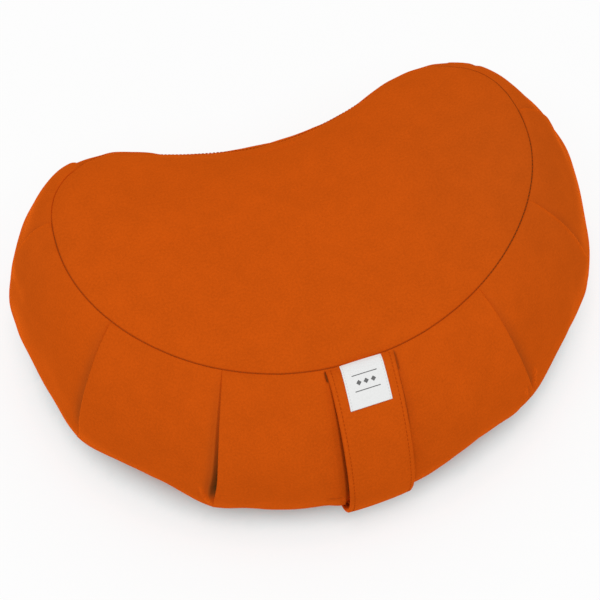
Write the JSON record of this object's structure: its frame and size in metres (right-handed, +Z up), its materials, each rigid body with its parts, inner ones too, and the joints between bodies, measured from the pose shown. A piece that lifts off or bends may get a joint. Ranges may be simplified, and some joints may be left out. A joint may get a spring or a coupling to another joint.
{
  "type": "crescent meditation cushion",
  "caption": "Filled crescent floor cushion with a crowned top panel, pleated side band, hollowed back and a cloth carrying handle with a small blank tag at the front.",
  "frame": {"origin": "on the floor, under the middle of the bounding box", "axes": "+X to the right along the cushion's width, +Y to the hollowed back where the sitter's body is, -Y to the rounded front with the handle, +Z up"},
  "size_m": [0.4614, 0.325, 0.1416],
  "materials": {
    "orange_cloth": "matt brushed cotton twill",
    "handle_cloth": "matt brushed cotton twill, two layers, topstitched",
    "tag_cloth": "smooth white woven tape"
  },
  "bodies": {
    "root": {"cushion": "orange_cloth", "handle": "handle_cloth", "tag": "tag_cloth"}
  },
  "joints": []
}
